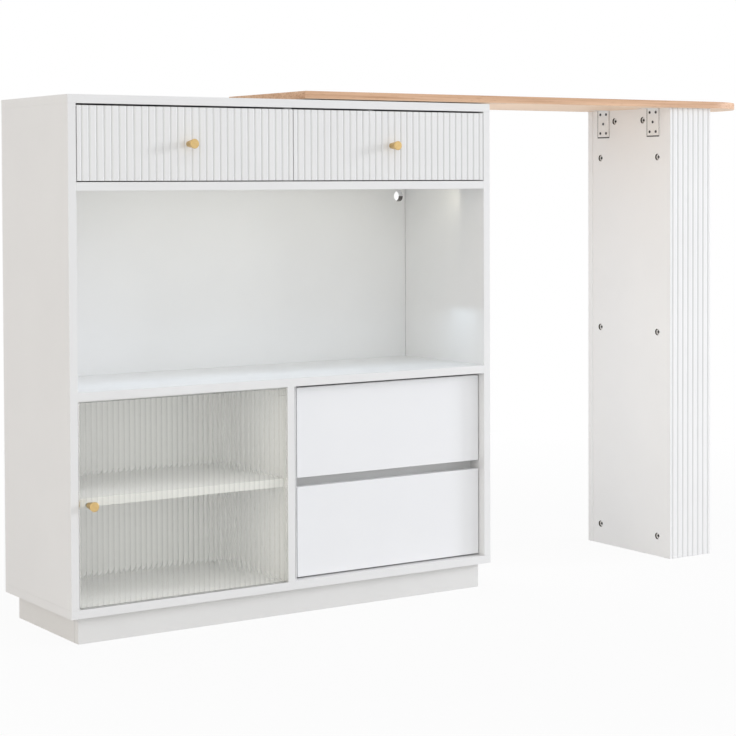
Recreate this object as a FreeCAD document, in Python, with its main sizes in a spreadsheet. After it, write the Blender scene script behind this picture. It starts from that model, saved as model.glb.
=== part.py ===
"""Bar table: a storage cabinet whose counter board runs out to a fluted panel leg."""
import FreeCAD
import Part
import Sketcher
import os
import re

# Driving dimensions in millimetres: name, value, meaning
DIMENSIONS = [
    ("cabinet_width", 945, "outside width of the cabinet"),
    ("cabinet_depth", 300, "outside depth of the cabinet and of the table board"),
    ("cabinet_height", 998, "floor to the top of the cabinet"),
    ("panel_thickness", 16, "carcass boards"),
    ("back_thickness", 16, "back board between the sides"),
    ("back_side_gap", 1, "shadow gap between the back board and each side"),
    ("plinth_height", 50, "floor to the underside of the bottom board"),
    ("plinth_thickness", 16, "plinth boards"),
    ("plinth_side_inset", 20, "plinth behind the outside of the sides"),
    ("plinth_front_inset", 16, "plinth behind the front"),
    ("plinth_back_inset", 18, "plinth ahead of the back"),
    ("plinth_joint_gap", 1, "shadow gap where the side boards meet the front board"),
    ("counter_height", 460, "top of the counter shelf"),
    ("upper_bay_height", 142, "opening of the upper drawers, under the top board"),
    ("upper_divider_setback", 19, "front edge of the divider behind the upper fronts"),
    ("bay_side_thickness", 14, "side board of the lower drawers' bay, beside the divider"),
    ("bay_side_groove_inset", 10.8, "shadow groove in its front edge, from the divider"),
    ("bay_side_groove_width", 1.2, "that groove"),
    ("bay_side_groove_depth", 9, "that groove"),
    ("bay_shelf_height", 266, "top of the shelf behind the glass door"),
    ("bay_shelf_setback", 13, "front edge of that shelf behind the cabinet front"),
    ("bay_shelf_side_gap", 0.5, "play of that shelf between its bay walls"),
    ("shelf_pin_diameter", 5, "shelf pins"),
    ("shelf_pin_length", 16, "half of each pin sits in the board"),
    ("shelf_pin_inset", 40, "pins from the shelf's front and back edges"),
    ("pin_hole_clearance", 0.2, "play of a pin, screw or cam in its hole, on the radius"),
    ("cable_hole_diameter", 23, "cable hole in the back board"),
    ("cable_hole_side", 18, "its centre from the right side board"),
    ("cable_hole_drop", 16, "its centre below the rail shelf"),
    ("front_thickness", 16, "drawer front boards"),
    ("front_top_gap", 3.5, "gap above an upper drawer front"),
    ("front_side_gap", 2, "gap beside a drawer front and below an upper one"),
    ("lower_top_gap", 5, "gap above the lower fronts"),
    ("lower_end_gap", 3, "gap below the lower fronts"),
    ("finger_gap", 18, "hand gap between the two lower fronts"),
    ("finger_rail_gap", 14, "rail that closes the hand gap, behind the lower fronts"),
    ("finger_rail_clearance", 3, "that rail below the upper of the two boxes"),
    ("lower_front_setback", 18, "lower fronts behind the cabinet front"),
    ("flute_pitch", 15, "spacing of the grooves in the fluted boards"),
    ("flute_width", 6, "groove width at the face"),
    ("flute_depth", 1.7, "groove depth"),
    ("drawer_side_thickness", 12, "drawer box sides and back"),
    ("drawer_base_thickness", 5, "drawer base board"),
    ("drawer_base_lift", 9, "base board above the lower edge of the sides"),
    ("drawer_groove_depth", 6, "groove in the sides for the base board"),
    ("drawer_groove_clearance", 0.2, "play of the base board in its groove"),
    ("box_lift", 14, "box above the lower edge of its front"),
    ("box_drop", 31.5, "box below the upper edge of its front"),
    ("box_back_gap", 15, "box ahead of the back board"),
    ("slide_space", 12.7, "room for a slide on each side of a box"),
    ("rail_height", 35, "outer slide member"),
    ("rail_depth", 9.5, "outer slide member"),
    ("rail_sheet", 1.2, "its sheet thickness"),
    ("rail_start", 3, "slide behind the back of the drawer front"),
    ("rail_box_lift", 26, "slide above the lower edge of the box"),
    ("runner_clearance", 0.6, "play of the runner in its rail"),
    ("knob_length", 25, "knob from its base to its face"),
    ("knob_base_diameter", 10.5, "narrow end of the knob"),
    ("knob_face_diameter", 18.2, "wide end of the knob"),
    ("knob_rim", 1.2, "bevel round the face"),
    ("knob_screw_diameter", 4, "knob screw"),
    ("knob_screw_reach", 12, "screw length inside the knob"),
    ("knob_bore_spare", 2, "knob bore past the screw's end"),
    ("knob_screw_head_diameter", 9, "knob screw head"),
    ("knob_screw_head_height", 2.6, "knob screw head"),
    ("glass_thickness", 5, "reeded pane of the door"),
    ("glass_side_gap", 2, "gap beside the pane"),
    ("glass_end_gap", 2.5, "gap above and below the pane"),
    ("reed_pitch", 11, "spacing of the reeds"),
    ("reed_width", 10, "width of one hollow reed"),
    ("reed_depth", 0.9, "depth of one hollow reed"),
    ("door_knob_inset", 18, "door knob from the free edge of the pane"),
    ("door_stop_gap", 0.1, "film of glue between the pane and its pivot clips"),
    ("pivot_inset", 7, "pivot axis from the hinge edge of the pane"),
    ("pivot_pin_diameter", 4.4, "pivot pins"),
    ("pivot_pin_reach", 9, "pin length above its tab"),
    ("pivot_bush_diameter", 10, "bush in the board above and below the door"),
    ("pivot_bush_depth", 11, "bush in the board above and below the door"),
    ("pivot_clearance", 0.35, "play of the pin in its bush, on the radius"),
    ("clip_width", 15, "pivot clip behind the pane"),
    ("clip_height", 14, "pivot clip behind the pane"),
    ("clip_thickness", 3, "pivot clip behind the pane"),
    ("clip_tab_thickness", 1, "tab over the edge of the pane"),
    ("clip_tab_reach", 3.2, "tab ahead of the back of the pane"),
    ("table_length", 1220, "table board, square end to the tip of the round end"),
    ("table_thickness", 15, "table board"),
    ("table_overlap", 445, "table board on top of the cabinet"),
    ("table_lift", 2, "shadow gap under the table board, held by rings on the bolts"),
    ("table_edge_bevel", 1, "bevel round the table board"),
    ("table_bolt_diameter", 6, "bolts up through the cabinet top"),
    ("table_bolt_bite", 10, "bolt length in the table board"),
    ("table_bolt_head_diameter", 12, "bolt heads"),
    ("table_bolt_head_height", 4, "bolt heads"),
    ("table_washer_diameter", 20, "washers under the bolt heads"),
    ("table_washer_thickness", 1.5, "washers under the bolt heads"),
    ("table_bolt_from_end", 174, "bolts from the square end of the table board"),
    ("table_bolt_from_edge", 40, "bolts from the long edges of the table board"),
    ("leg_width", 120, "leg along the table"),
    ("leg_depth", 280, "leg across the table"),
    ("leg_end_inset", 150, "outer face of the leg from the tip of the table"),
    ("leg_panel_thickness", 15, "leg boards"),
    ("leg_panel_recess", 1, "plain leg boards behind the edges of the fluted ones"),
    ("cam_diameter", 14, "cam locks in the leg"),
    ("cam_depth", 12.5, "cam pockets in the leg"),
    ("cam_sink", 3.5, "cam face below the board"),
    ("cam_slot_length", 7, "cross slot in each cam"),
    ("cam_slot_width", 3, "cross slot in each cam"),
    ("cam_slot_depth", 4, "cross slot in each cam"),
    ("cam_edge_inset", 28, "side cams from the long edges of the board"),
    ("cam_low_height", 45, "lowest pair of cams"),
    ("cam_middle_height", 502, "middle pair of cams"),
    ("cam_high_drop", 108, "highest side pair below the table"),
    ("cam_top_drop", 25, "top pair below the table"),
    ("cam_top_spacing", 96, "top pair apart"),
    ("bracket_width", 37, "angle bracket across the table"),
    ("bracket_height", 60, "flange on the leg"),
    ("bracket_length", 40, "flange under the table"),
    ("bracket_sheet", 2.5, "bracket steel"),
    ("bracket_recess_play", 0.3, "play round the bracket in the recess under the table"),
    ("bracket_edge_inset", 37, "bracket from the outer faces of the leg"),
    ("bracket_hole_diameter", 4.4, "screw holes"),
    ("bracket_hole_inset", 8.5, "screw holes from the edges of a flange"),
    ("bracket_screw_diameter", 3.5, "bracket screws"),
    ("bracket_screw_length", 10, "bracket screws behind the flange"),
    ("bracket_screw_head_diameter", 6.2, "bracket screw heads"),
    ("bracket_screw_head_height", 0.8, "bracket screw heads"),
    ("overrun", 5, "how far a cutting tool passes the board"),
]

# Places and sizes that follow from the driving dimensions
DERIVED = {
    "total_length": "cabinet_width - table_overlap + table_length",
    "left_x": "-total_length / 2",
    "right_x": "left_x + cabinet_width",
    "middle_x": "left_x + cabinet_width / 2",
    "inner_left_x": "left_x + panel_thickness",
    "inner_right_x": "right_x - panel_thickness",
    "inner_width": "cabinet_width - 2 * panel_thickness",
    "front_y": "(knob_length - cabinet_depth) / 2",
    "back_y": "front_y + cabinet_depth",
    "middle_y": "front_y + cabinet_depth / 2",
    "inner_back_y": "back_y - back_thickness",
    "inner_depth": "cabinet_depth - back_thickness",
    "base_top": "plinth_height + panel_thickness",
    "top_underside": "cabinet_height - panel_thickness",
    "counter_underside": "counter_height - panel_thickness",
    "rail_shelf_height": "top_underside - upper_bay_height",
    "rail_shelf_underside": "rail_shelf_height - panel_thickness",
    "lower_height": "counter_underside - base_top",
    "divider_left_x": "middle_x - panel_thickness",
    "bay_side_right_x": "middle_x + bay_side_thickness",
    "glass_bay_width": "divider_left_x - inner_left_x",
    "upper_divider_x": "middle_x - panel_thickness / 2",
    "upper_bay_width": "inner_width / 2 - panel_thickness / 2",
    "upper_front_width": "inner_width / 2 - 3 / 2 * front_side_gap",
    "upper_front_z": "rail_shelf_height + front_side_gap",
    "upper_front_height": "top_underside - front_top_gap - upper_front_z",
    "upper_box_height": "upper_front_height - box_lift - box_drop",
    "upper_box_depth": "inner_depth - front_thickness - box_back_gap",
    "lower_front_y": "front_y + lower_front_setback",
    "lower_bay_width": "inner_right_x - bay_side_right_x",
    "lower_front_width": "lower_bay_width - 2 * front_side_gap",
    "lower_front_height": "(lower_height - lower_top_gap - lower_end_gap - finger_gap) / 2",
    "lower_box_height": "lower_front_height - box_lift - box_drop",
    "lower_box_depth": "upper_box_depth - lower_front_setback",
    "rail_length": "lower_box_depth - rail_start",
    "lower_front_z": "base_top + lower_end_gap",
    "second_front_z": "lower_front_z + lower_front_height + finger_gap",
    "finger_rail_reach": "box_lift - finger_rail_clearance",
    "glass_x": "inner_left_x + glass_side_gap",
    "glass_width": "glass_bay_width - 2 * glass_side_gap",
    "glass_z": "base_top + glass_end_gap",
    "glass_height": "lower_height - 2 * glass_end_gap",
    "reed_radius": "(reed_width ^ 2 / 4 + reed_depth ^ 2) / (2 * reed_depth)",
    "reed_count": "trunc(glass_width / reed_pitch)",
    "reed_start": "(glass_width - (reed_count - 1) * reed_pitch) / 2",
    "pivot_x": "glass_x + glass_width - pivot_inset",
    "pivot_y": "front_y + glass_thickness",
    "pin_hole_radius": "shelf_pin_diameter / 2 + pin_hole_clearance",
    "bay_shelf_underside": "bay_shelf_height - panel_thickness",
    "bay_shelf_y": "front_y + bay_shelf_setback",
    "bay_shelf_depth": "inner_back_y - bay_shelf_y",
    "pin_z": "bay_shelf_underside - shelf_pin_diameter / 2",
    "table_x": "right_x - table_overlap",
    "table_radius": "cabinet_depth / 2",
    "table_z": "cabinet_height + table_lift",
    "bolt_x": "table_x + table_bolt_from_end",
    "bolt_hole_radius": "table_bolt_diameter / 2 + pin_hole_clearance",
    "leg_right_x": "table_x + table_length - leg_end_inset",
    "leg_left_x": "leg_right_x - leg_width",
    "leg_front_y": "middle_y - leg_depth / 2",
    "leg_face_x": "leg_left_x + leg_panel_recess",
    "leg_panel_y": "leg_front_y + leg_panel_thickness",
    "leg_panel_width": "leg_depth - 2 * leg_panel_thickness",
    "cam_radius": "cam_diameter / 2",
    "bracket_screw_hole_radius": "bracket_screw_diameter / 2 + pin_hole_clearance",
    "knob_hole_radius": "knob_screw_diameter / 2 + pin_hole_clearance",
}

VALUES = {name: value for name, value, meaning in DIMENSIONS}
WORD = re.compile(r"[a-z_]+")

doc = FreeCAD.newDocument("bar_table")
sheet = doc.addObject("Spreadsheet::Sheet", "Dims")
for row, (name, value, meaning) in enumerate(DIMENSIONS, start=1):
    sheet.set(f"A{row}", meaning)
    sheet.set(f"B{row}", str(value))
    sheet.setAlias(f"B{row}", name)
doc.recompute()

nodes = []


def formula(text):
    """The sheet expression for a sum of dimension names."""
    def swap(match):
        word = match.group()
        if word in DERIVED:
            return f"({formula(DERIVED[word])})"
        return f"Dims.{word}" if word in VALUES else word
    return WORD.sub(swap, text)


def amount(text):
    """The present value of such a sum."""
    return float(sheet.evalExpression(formula(text)))


def bind(item, **sums):
    """Tie properties of an object to the sheet."""
    for key, text in sums.items():
        item.setExpression(key, formula(text))


def place(item, x, y, z):
    """Tie an object's position to the sheet."""
    for axis, text in zip("xyz", (x, y, z)):
        item.setExpression(f"Placement.Base.{axis}", formula(text))


def keep(item, label):
    """Name a finished sub-part and list it for writing."""
    item.Label = label
    nodes.append(item)
    return item


def box(name, corner, size):
    """A plain board from its lowest corner."""
    solid = doc.addObject("Part::Box", name)
    bind(solid, Length=size[0], Width=size[1], Height=size[2])
    place(solid, *corner)
    return solid


TURNS = {
    "x": FreeCAD.Rotation(FreeCAD.Vector(0, 1, 0), 90),
    "y": FreeCAD.Rotation(FreeCAD.Vector(1, 0, 0), -90),
    "z": FreeCAD.Rotation(),
}


def rod(name, start, radius, length, axis):
    """A round bar that runs along +X, +Y or +Z from its start."""
    solid = doc.addObject("Part::Cylinder", name)
    solid.Placement = FreeCAD.Placement(FreeCAD.Vector(), TURNS[axis])
    bind(solid, Radius=radius, Height=length)
    place(solid, *start)
    return solid


def group(name, members):
    """Several separate solids as one object."""
    bunch = doc.addObject("Part::Compound", name)
    bunch.Links = members
    return bunch


def cut(name, base, tools):
    """A solid with other solids taken out of it."""
    result = doc.addObject("Part::Cut", name)
    result.Base = base
    result.Tool = tools[0] if len(tools) == 1 else group(f"{name}_tools", tools)
    return result


def fuse(name, members):
    """Several touching solids joined into one."""
    result = doc.addObject("Part::MultiFuse", name)
    result.Shapes = members
    result.Refine = True
    return result


def origin(body, role):
    """A plane or axis of a body's own origin."""
    return next(item for item in body.Origin.OriginFeatures if item.Role == role)


def sketch(body, name, plane):
    """A sketch on one of the body's own origin planes."""
    drawing = body.newObject("Sketcher::SketchObject", name)
    drawing.AttachmentSupport = (origin(body, plane), [""])
    drawing.MapMode = "FlatFace"
    return drawing


def tie(drawing, kind, geometry, point, text):
    """Tie one coordinate of a sketch point to the sheet."""
    rule = Sketcher.Constraint(kind, -1, 1, geometry, point, amount(text))
    index = drawing.addConstraint(rule)
    drawing.setExpression(f"Constraints[{index}]", formula(text))


def hold(drawing, geometry, point, x, y):
    """Tie both coordinates of a sketch point to the sheet."""
    tie(drawing, "DistanceX", geometry, point, x)
    tie(drawing, "DistanceY", geometry, point, y)


def polygon(drawing, corners):
    """A closed outline of straight lines through corners given as sums."""
    points = [FreeCAD.Vector(amount(x), amount(y), 0) for x, y in corners]
    count = len(points)
    for index, point in enumerate(points):
        drawing.addGeometry(Part.LineSegment(point, points[(index + 1) % count]), False)
    for index in range(count):
        joint = Sketcher.Constraint("Coincident", index, 2, (index + 1) % count, 1)
        drawing.addConstraint(joint)
    for index, (x, y) in enumerate(corners):
        hold(drawing, index, 1, x, y)


def rectangle(drawing, x, y, width, height):
    """A rectangle from its lowest corner."""
    right = f"{x} + {width}"
    top = f"{y} + {height}"
    polygon(drawing, [(x, y), (right, y), (right, top), (x, top)])


def circle(drawing, x, y, radius):
    """A circle whose centre and radius follow the sheet."""
    centre = FreeCAD.Vector(amount(x), amount(y), 0)
    normal = FreeCAD.Vector(0, 0, 1)
    index = drawing.addGeometry(Part.Circle(centre, normal, amount(radius)), False)
    hold(drawing, index, 3, x, y)
    rule = drawing.addConstraint(Sketcher.Constraint("Radius", index, amount(radius)))
    drawing.setExpression(f"Constraints[{rule}]", formula(radius))


def pad(body, drawing, height):
    """Raise a sketch into a solid."""
    feature = body.newObject("PartDesign::Pad", f"{body.Name}_pad")
    feature.Profile = drawing
    bind(feature, Length=height)
    drawing.Visibility = False
    return feature


def pocket(body, name, drawing, backwards):
    """Cut a sketch right through, and make sure that it took something away."""
    doc.recompute()
    before = body.Shape.Volume
    feature = body.newObject("PartDesign::Pocket", name)
    feature.Profile = drawing
    feature.Type = "ThroughAll"
    feature.Reversed = backwards
    doc.recompute()
    if not body.Shape.Volume < before:
        raise RuntimeError(f"{name} cuts nothing")
    return feature


def repeat(body, feature, count, spacing):
    """Copy a cut along X at a steady spacing."""
    pattern = body.newObject("PartDesign::LinearPattern", f"{body.Name}_pattern")
    pattern.Originals = [feature]
    pattern.Direction = (origin(body, "X_Axis"), [""])
    bind(pattern, Length=f"({count} - 1) * ({spacing})", Occurrences=count)
    body.Tip = pattern
    return pattern


def turned(name, corners):
    """A body turned about the Y axis from a half outline of radius and distance."""
    body = doc.addObject("PartDesign::Body", name)
    drawing = sketch(body, f"{name}_profile", "XY_Plane")
    polygon(drawing, corners)
    feature = body.newObject("PartDesign::Revolution", f"{name}_turn")
    feature.Profile = drawing
    feature.ReferenceAxis = (drawing, ["V_Axis"])
    feature.Angle = 360
    return body


def fluted_board(name, width, thickness, height, hole=None):
    """An upright board with V grooves in the face towards -Y, and a screw hole if asked."""
    body = doc.addObject("PartDesign::Body", name)
    blank = sketch(body, f"{name}_outline", "XY_Plane")
    rectangle(blank, "0", "0", width, thickness)
    pad(body, blank, height)
    if hole:
        drill = sketch(body, f"{name}_hole", "XZ_Plane")
        circle(drill, hole[0], hole[1], "knob_hole_radius")
        pocket(body, f"{name}_drill", drill, False)
    count = f"(round(({width}) / flute_pitch - 1) + 1)"
    start = f"(({width}) - ({count} - 1) * flute_pitch) / 2"
    groove = sketch(body, f"{name}_groove", "XY_Plane")
    corners = [(f"{start} - flute_width / 2", "0"),
               (start, "flute_depth"),
               (f"{start} + flute_width / 2", "0")]
    polygon(groove, corners)
    repeat(body, pocket(body, f"{name}_flute", groove, True), count, "flute_pitch")
    return body


def make_carcass():
    """The fixed boards of the cabinet."""
    side_height = "top_underside - base_top"
    top_blank = box("top_blank", ("left_x", "front_y", "top_underside"),
                    ("cabinet_width", "cabinet_depth", "panel_thickness"))
    bolt_holes = [
        rod(f"top_hole_{index}", ("bolt_x", y, "top_underside - overrun"),
            "bolt_hole_radius", "panel_thickness + 2 * overrun", "z")
        for index, y in enumerate(table_bolt_rows())
    ]
    keep(cut("top_cut", top_blank, bolt_holes), "top_panel")

    base_blank = box("base_blank", ("left_x", "front_y", "plinth_height"),
                     ("cabinet_width", "cabinet_depth", "panel_thickness"))
    base_seat = rod("base_seat", ("pivot_x", "pivot_y", "base_top - pivot_bush_depth"),
                    "pivot_bush_diameter / 2", "pivot_bush_depth + overrun", "z")
    keep(cut("base_cut", base_blank, [base_seat]), "bottom_panel")

    left_blank = box("left_blank", ("left_x", "front_y", "base_top"),
                     ("panel_thickness", "cabinet_depth", side_height))
    keep(cut("left_cut", left_blank, pin_holes("left", "inner_left_x")), "left_side_panel")
    keep(box("right_side", ("inner_right_x", "front_y", "base_top"),
             ("panel_thickness", "cabinet_depth", side_height)), "right_side_panel")

    back_blank = box("back_blank", ("inner_left_x + back_side_gap", "inner_back_y", "base_top"),
                     ("inner_width - 2 * back_side_gap", "back_thickness", side_height))
    cable_hole = rod("cable_hole", ("inner_right_x - cable_hole_side", "inner_back_y - overrun",
                                    "rail_shelf_underside - cable_hole_drop"),
                     "cable_hole_diameter / 2", "back_thickness + 2 * overrun", "y")
    keep(cut("back_cut", back_blank, [cable_hole]), "back_panel")

    keep(box("rail_shelf", ("inner_left_x", "front_y", "rail_shelf_underside"),
             ("inner_width", "inner_depth", "panel_thickness")), "drawer_rail_shelf")

    counter_blank = box("counter_blank", ("inner_left_x", "front_y", "counter_underside"),
                        ("inner_width", "inner_depth", "panel_thickness"))
    counter_seat = rod("counter_seat", ("pivot_x", "pivot_y", "counter_underside - overrun"),
                       "pivot_bush_diameter / 2", "pivot_bush_depth + overrun", "z")
    keep(cut("counter_cut", counter_blank, [counter_seat]), "counter_shelf")

    keep(box("upper_wall", ("upper_divider_x", "front_y + upper_divider_setback", "rail_shelf_height"),
             ("panel_thickness", "inner_depth - upper_divider_setback",
              "top_underside - rail_shelf_height")), "upper_divider")

    divider_blank = box("divider_blank", ("divider_left_x", "front_y", "base_top"),
                        ("panel_thickness", "inner_depth", "lower_height"))
    keep(cut("divider_cut", divider_blank, pin_holes("divider", "divider_left_x")), "lower_divider")
    bay_blank = box("bay_side_blank", ("middle_x", "lower_front_y", "base_top"),
                    ("bay_side_thickness", "inner_depth - lower_front_setback", "lower_height"))
    bay_groove = box("bay_side_groove", ("middle_x + bay_side_groove_inset", "lower_front_y - overrun",
                                         "base_top - overrun"),
                     ("bay_side_groove_width", "overrun + bay_side_groove_depth",
                      "lower_height + 2 * overrun"))
    keep(cut("bay_side_cut", bay_blank, [bay_groove]), "drawer_bay_side")
    keep(box("finger_board", ("bay_side_right_x", "lower_front_y + front_thickness + finger_rail_gap",
                              "second_front_z - finger_gap - finger_rail_reach"),
             ("lower_bay_width", "panel_thickness", "finger_gap + 2 * finger_rail_reach")), "finger_rail")
    keep(box("bay_board", ("inner_left_x + bay_shelf_side_gap", "bay_shelf_y", "bay_shelf_underside"),
             ("glass_bay_width - 2 * bay_shelf_side_gap", "bay_shelf_depth", "panel_thickness")),
         "bay_shelf")


def shelf_pin_rows():
    """Distances of the shelf pins from the front of the cabinet."""
    return ("bay_shelf_y + shelf_pin_inset", "inner_back_y - shelf_pin_inset")


def pin_holes(name, face_x):
    """Blind holes for the shelf pins in the board behind a bay wall."""
    depth = "shelf_pin_length / 2"
    start = f"{face_x} - {depth}"
    if face_x == "divider_left_x":
        start = f"{face_x} - overrun"
    return [rod(f"{name}_pin_hole_{index}", (start, y, "pin_z"), "pin_hole_radius",
                f"{depth} + overrun", "x")
            for index, y in enumerate(shelf_pin_rows())]


def make_shelf_pins():
    """Four pins that carry the shelf behind the glass."""
    pins = []
    for side, wall in (("left", "inner_left_x"), ("right", "divider_left_x")):
        for index, y in enumerate(shelf_pin_rows()):
            pins.append(rod(f"{side}_pin_{index}", (f"{wall} - shelf_pin_length / 2", y, "pin_z"),
                            "shelf_pin_diameter / 2", "shelf_pin_length", "x"))
    keep(group("pin_set", pins), "shelf_pins")


def make_plinth():
    """Four boards on edge under the cabinet."""
    front = "front_y + plinth_front_inset"
    left = "left_x + plinth_side_inset"
    right = "right_x - plinth_side_inset"
    side_start = f"{front} + plinth_thickness + plinth_joint_gap"
    back = "back_y - plinth_back_inset"
    side_size = ("plinth_thickness", f"{back} - ({side_start})", "plinth_height")
    keep(box("plinth_front", (left, front, "0"),
             (f"{right} - ({left})", "plinth_thickness", "plinth_height")), "plinth_front_board")
    keep(box("plinth_left", (left, side_start, "0"), side_size), "plinth_left_board")
    keep(box("plinth_right", (f"{right} - plinth_thickness", side_start, "0"), side_size),
         "plinth_right_board")
    keep(box("plinth_back", (f"{left} + plinth_thickness", f"{back} - plinth_thickness", "0"),
             (f"{right} - ({left}) - 2 * plinth_thickness", "plinth_thickness", "plinth_height")),
         "plinth_back_board")


def make_knob(name, x, y, z):
    """A tapered knob whose wide face points to -Y, with a bore for its screw."""
    bore = "knob_screw_reach + knob_bore_spare"
    body = turned(f"{name}_knob_body", [
        ("knob_hole_radius", "0"),
        ("knob_base_diameter / 2", "0"),
        ("knob_face_diameter / 2", "knob_rim - knob_length"),
        ("knob_face_diameter / 2 - knob_rim", "-knob_length"),
        ("0", "-knob_length"),
        ("0", f"-({bore})"),
        ("knob_hole_radius", f"-({bore})"),
    ])
    place(body, x, y, z)
    keep(body, f"{name}_knob")


def make_knob_screw(name, x, y, z, thickness):
    """A pan head screw from behind a board of this thickness into the knob."""
    end = f"-({thickness} + knob_screw_reach)"
    body = turned(f"{name}_screw_body", [
        ("0", "knob_screw_head_height"),
        ("knob_screw_head_diameter / 2", "knob_screw_head_height"),
        ("knob_screw_head_diameter / 2", "0"),
        ("knob_screw_diameter / 2", "0"),
        ("knob_screw_diameter / 2", end),
        ("0", end),
    ])
    place(body, x, f"{y} + {thickness}", z)
    keep(body, f"{name}_knob_screw")


rails = []


def make_slides(name, bay_x, bay_width, start_y, z):
    """Outer rails on the bay walls and the runners on the drawer that slide in them."""
    runners = []
    hollow_height = "rail_height - 2 * rail_sheet"
    runner_height = f"{hollow_height} - 2 * runner_clearance"
    runner_width = "slide_space - rail_sheet - runner_clearance"
    walls = (("left", bay_x, "rail_sheet", "rail_sheet + runner_clearance"),
             ("right", f"{bay_x} + {bay_width} - rail_depth", "-overrun",
              "rail_depth - slide_space"))
    for side, x, hollow_shift, runner_shift in walls:
        channel = box(f"{name}_{side}_channel", (x, start_y, z),
                      ("rail_depth", "rail_length", "rail_height"))
        hollow = box(f"{name}_{side}_hollow",
                     (f"{x} + {hollow_shift}", f"{start_y} - overrun", f"{z} + rail_sheet"),
                     ("rail_depth - rail_sheet + overrun", "rail_length + 2 * overrun", hollow_height))
        rails.append(cut(f"{name}_{side}_rail", channel, [hollow]))
        runners.append(box(f"{name}_{side}_runner",
                           (f"{x} + {runner_shift}", start_y, f"{z} + rail_sheet + runner_clearance"),
                           (runner_width, "rail_length", runner_height)))
    keep(group(f"{name}_runner_pair", runners), f"{name}_runners")


def make_drawer_box(name, bay_x, bay_width, start_y, z, height, depth):
    """Sides, back and base of one drawer, and its slides."""
    left = f"{bay_x} + slide_space"
    width = f"{bay_width} - 2 * slide_space"
    right = f"{left} + {width} - drawer_side_thickness"
    base_z = f"{z} + drawer_base_lift"
    inner_width = f"{width} - 2 * drawer_side_thickness"
    groove_height = "drawer_base_thickness + 2 * drawer_groove_clearance"
    sides = (("left", left, "drawer_side_thickness - drawer_groove_depth"), ("right", right, "-overrun"))
    for side, x, shift in sides:
        blank = box(f"{name}_{side}_blank", (x, start_y, z), ("drawer_side_thickness", depth, height))
        groove = box(f"{name}_{side}_groove",
                     (f"{x} + {shift}", f"{start_y} - overrun", f"{base_z} - drawer_groove_clearance"),
                     ("drawer_groove_depth + overrun", f"{depth} + 2 * overrun", groove_height))
        keep(cut(f"{name}_{side}_cut", blank, [groove]), f"{name}_{side}_side")
    base_top = f"{base_z} + drawer_base_thickness"
    keep(box(f"{name}_rear", (f"{left} + drawer_side_thickness",
                              f"{start_y} + {depth} - drawer_side_thickness", base_top),
             (inner_width, "drawer_side_thickness", f"{height} - drawer_base_lift - drawer_base_thickness")),
         f"{name}_back")
    tongue = "(drawer_groove_depth - drawer_groove_clearance)"
    keep(box(f"{name}_floor", (f"{left} + drawer_side_thickness - {tongue}", start_y, base_z),
             (f"{inner_width} + 2 * {tongue}", depth, "drawer_base_thickness")), f"{name}_base")
    make_slides(name, bay_x, bay_width, f"{start_y} + rail_start", f"{z} + rail_box_lift")


def make_upper_drawers():
    """Two fluted drawers side by side under the top."""
    bays = (("upper_left_drawer", "inner_left_x", "inner_left_x + front_side_gap"),
            ("upper_right_drawer", "upper_divider_x + panel_thickness",
             "middle_x + front_side_gap / 2"))
    for name, bay_x, front_x in bays:
        centre = ("upper_front_width / 2", "upper_front_height / 2")
        board = fluted_board(f"{name}_board", "upper_front_width", "front_thickness",
                             "upper_front_height", centre)
        place(board, front_x, "front_y", "upper_front_z")
        keep(board, f"{name}_front")
        make_drawer_box(name, bay_x, "upper_bay_width", "front_y + front_thickness",
                        "upper_front_z + box_lift", "upper_box_height", "upper_box_depth")
        knob = (f"{front_x} + {centre[0]}", "front_y", f"upper_front_z + {centre[1]}")
        make_knob(name, *knob)
        make_knob_screw(name, *knob, "front_thickness")


def make_lower_drawers():
    """Two plain drawers, one above the other, opened by the gap between their fronts."""
    for name, z in (("lower_top_drawer", "second_front_z"), ("lower_bottom_drawer", "lower_front_z")):
        keep(box(f"{name}_board", ("bay_side_right_x + front_side_gap", "lower_front_y", z),
                 ("lower_front_width", "front_thickness", "lower_front_height")), f"{name}_front")
        make_drawer_box(name, "bay_side_right_x", "lower_bay_width", "lower_front_y + front_thickness",
                        f"{z} + box_lift", "lower_box_height", "lower_box_depth")


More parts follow.
